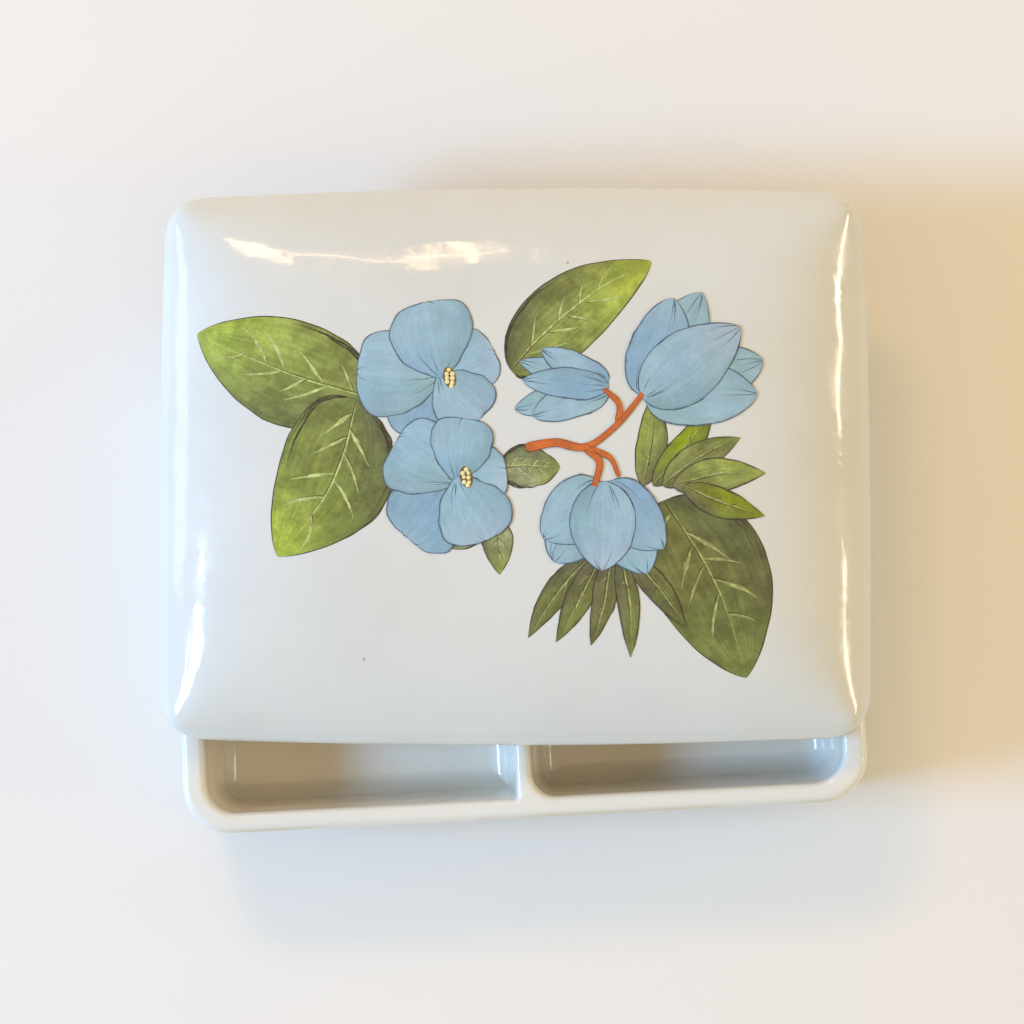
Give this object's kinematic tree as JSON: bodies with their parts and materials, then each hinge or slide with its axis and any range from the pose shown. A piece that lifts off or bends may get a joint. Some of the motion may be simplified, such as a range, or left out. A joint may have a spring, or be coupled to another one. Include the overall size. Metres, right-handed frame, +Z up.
{
  "type": "butter dish",
  "caption": "Rectangular glazed porcelain dish with wells side by side and a loose, pillow-domed lid that lifts off.",
  "frame": {"origin": "middle of the base's footprint, on the plane its foot stands on", "axes": "+X right along the base's long side, -Y the front, where the wells show, +Z up"},
  "size_m": [0.1536, 0.1354, 0.048],
  "materials": {
    "base_glaze": "gloss",
    "lid_glaze": "gloss",
    "lid_painting": "gloss"
  },
  "bodies": {
    "base": {"base": "base_glaze"},
    "lid": {"lid": "lid_glaze"}
  },
  "joints": [
    {"name": "lid_lift", "type": "slide", "parent": "base", "child": "lid", "axis": [0, 0, 1], "range_m": [0, 0.08]}
  ]
}
